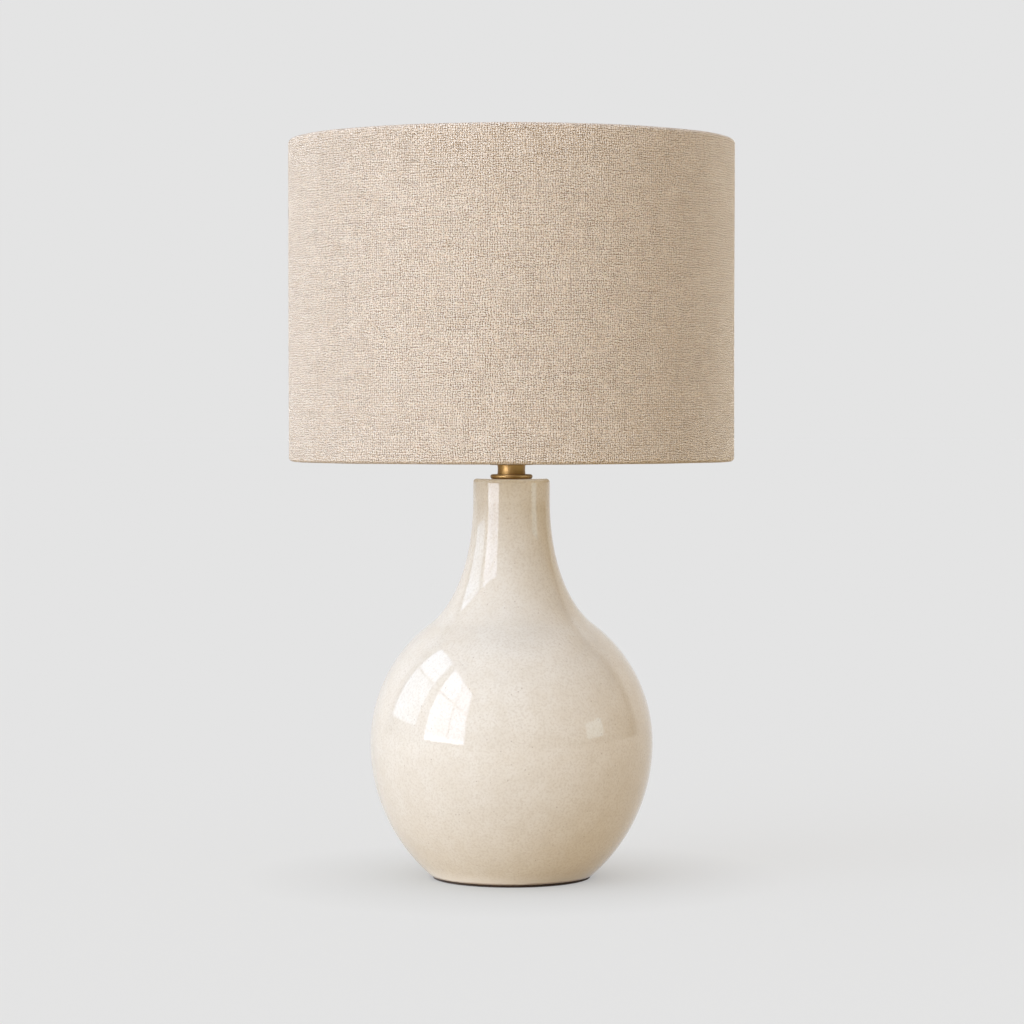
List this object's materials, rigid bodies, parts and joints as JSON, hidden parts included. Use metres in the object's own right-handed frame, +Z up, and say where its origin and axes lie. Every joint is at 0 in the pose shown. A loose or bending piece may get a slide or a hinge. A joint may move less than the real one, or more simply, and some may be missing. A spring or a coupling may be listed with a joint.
{
  "type": "table lamp",
  "caption": "Table lamp: glazed gourd-shaped ceramic body, short brass neck, and a linen drum shade carried by a wire harp and finial over a turn-switch socket and bulb.",
  "frame": {"origin": "on the table, under the middle of the foot's felt pad", "axes": "+Z up along the lamp's axis, -Y towards the viewer and the switch, +Y towards the cord's way out"},
  "size_m": [0.3299, 0.33, 0.5503],
  "materials": {
    "glaze": "gloss",
    "felt": "matte",
    "rubber": "matte",
    "black_plastic": "satin",
    "zinc_steel": "satin",
    "aged_brass": "satin",
    "bright_brass": "polished",
    "card": "matte",
    "phenolic": "gloss",
    "aluminium": "satin",
    "bulb_body": "satin",
    "diffuser": "satin",
    "circuit_board": "satin",
    "linen": "matte",
    "liner": "matte",
    "painted_wire": "satin"
  },
  "bodies": {
    "base": {"felt_pad": "felt", "ceramic_body": "glaze", "cord_bushing": "black_plastic", "base_washer": "zinc_steel", "lock_washer": "zinc_steel", "base_nut": "zinc_steel", "lamp_rod": "zinc_steel", "seat_washer": "rubber", "check_ring": "aged_brass", "brass_neck": "aged_brass", "upper_ring": "aged_brass", "harp_saddle": "aged_brass", "socket_cap": "aged_brass", "cap_screw": "zinc_steel", "socket_shell": "aged_brass", "shell_sleeve": "card", "socket_core": "phenolic", "terminal_screws": "bright_brass", "screw_shell": "aluminium", "centre_contact": "bright_brass"},
    "switch": {"switch_stem": "bright_brass", "switch_knob": "phenolic"},
    "bulb_foot": {"bulb_tip": "bright_brass", "bulb_insulator": "phenolic"},
    "bulb": {"bulb_cap": "aluminium", "bulb_housing": "bulb_body", "bulb_dome": "diffuser", "led_board": "circuit_board", "driver_board": "circuit_board"},
    "harp": {"harp_bow": "aged_brass", "harp_stud": "aged_brass"},
    "left_ferrule": {"left_ferrule": "aged_brass"},
    "right_ferrule": {"right_ferrule": "aged_brass"},
    "shade": {"shade_linen": "linen", "shade_liner": "liner", "top_ring": "painted_wire", "bottom_ring": "painted_wire", "spider": "painted_wire"},
    "finial_nut": {"finial_nut": "zinc_steel"},
    "finial": {"finial_knob": "aged_brass"}
  },
  "joints": [
    {"name": "switch_turn", "type": "hinge", "parent": "base", "child": "switch", "pos_m": [0, 0, 0.336], "axis": [0, -1, 0], "continuous": true},
    {"name": "bulb_rise", "type": "slide", "parent": "base", "child": "bulb_foot", "axis": [0, 0, 1], "range_m": [0, 0.0218]},
    {"name": "bulb_turn", "type": "hinge", "parent": "bulb_foot", "child": "bulb", "pos_m": [0, 0, 0.3513], "axis": [0, 0, 1], "range_deg": [0, 2160]},
    {"name": "harp_lift", "type": "slide", "parent": "base", "child": "harp", "axis": [0, 0, 1], "range_m": [0, 0.03]},
    {"name": "left_ferrule_lift", "type": "slide", "parent": "harp", "child": "left_ferrule", "axis": [0, 0, 1], "range_m": [0, 0.02]},
    {"name": "right_ferrule_lift", "type": "slide", "parent": "harp", "child": "right_ferrule", "axis": [0, 0, 1], "range_m": [0, 0.02]},
    {"name": "shade_turn", "type": "hinge", "parent": "harp", "child": "shade", "pos_m": [0, 0, 0.5267], "axis": [0, 0, 1], "continuous": true},
    {"name": "finial_rise", "type": "slide", "parent": "harp", "child": "finial_nut", "axis": [0, 0, 1], "range_m": [0, 0.0104]},
    {"name": "finial_turn", "type": "hinge", "parent": "finial_nut", "child": "finial", "pos_m": [0, 0, 0.5283], "axis": [0, 0, 1], "range_deg": [0, 3960]}
  ],
  "couplings": [
    {"joint": "bulb_rise", "follows": "bulb_turn", "m_per_rad": 0.00057757},
    {"joint": "finial_rise", "follows": "finial_turn", "m_per_rad": 0.00014972}
  ]
}
